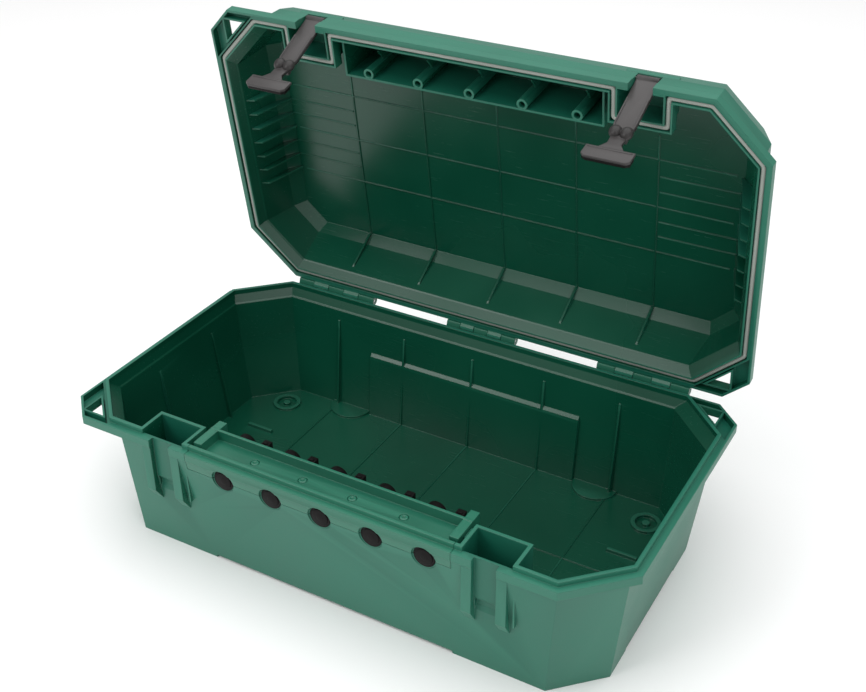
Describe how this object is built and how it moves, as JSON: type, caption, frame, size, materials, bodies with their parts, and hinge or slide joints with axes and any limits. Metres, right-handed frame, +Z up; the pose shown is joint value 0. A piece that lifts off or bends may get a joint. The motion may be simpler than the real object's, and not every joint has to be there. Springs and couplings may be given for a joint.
{
  "type": "weatherproof cable connection box",
  "caption": "Octagonal plastic tub with a hinged gasketed lid, T-handled latch arms and a lift-off clamp strip over sealed cable ports; keeps outdoor plug joints dry.",
  "frame": {"origin": "centre of the underside, on the ground", "axes": "+X along the length to the right, +Y from the ports towards the hinge, +Z up"},
  "size_m": [0.5, 0.3271, 0.3969],
  "materials": {
    "green_shell": "fine-grained moulded plastic, deep green",
    "green_strip": "fine-grained moulded plastic, deep green",
    "charcoal_latch": "satin moulded plastic, warm charcoal",
    "black_rubber": "soft black rubber",
    "grey_gasket": "grey foam-rubber cord",
    "zinc_steel": "zinc-plated steel"
  },
  "bodies": {
    "base": {"base_tub": "green_shell", "cable_seal_1": "black_rubber", "cable_seal_2": "black_rubber", "cable_seal_3": "black_rubber", "cable_seal_4": "black_rubber", "cable_seal_5": "black_rubber", "cable_clamp_strip": "green_strip", "clamp_screw_1": "green_strip", "clamp_screw_2": "green_strip", "clamp_screw_3": "green_strip", "clamp_screw_4": "green_strip", "hinge_pin_left": "zinc_steel", "hinge_pin_centre": "zinc_steel", "hinge_pin_right": "zinc_steel"},
    "lid": {"lid_shell": "green_shell", "lid_gasket": "grey_gasket", "latch_pin_left": "zinc_steel", "latch_pin_right": "zinc_steel"},
    "latch_left": {"latch_arm_left": "charcoal_latch"},
    "latch_right": {"latch_arm_right": "charcoal_latch"}
  },
  "joints": [
    {"name": "lid_hinge", "type": "hinge", "parent": "base", "child": "lid", "pos_m": [0, 0.1421, 0.1189], "axis": [1, 0, 0], "range_deg": [0, 81.3]},
    {"name": "latch_left_pivot", "type": "hinge", "parent": "lid", "child": "latch_left", "pos_m": [-0.1475, 0.11525, 0.39421], "axis": [-1, 0, 0], "range_deg": [0, 109]},
    {"name": "latch_right_pivot", "type": "hinge", "parent": "lid", "child": "latch_right", "pos_m": [0.1475, 0.11525, 0.39421], "axis": [-1, 0, 0], "range_deg": [0, 109]}
  ]
}
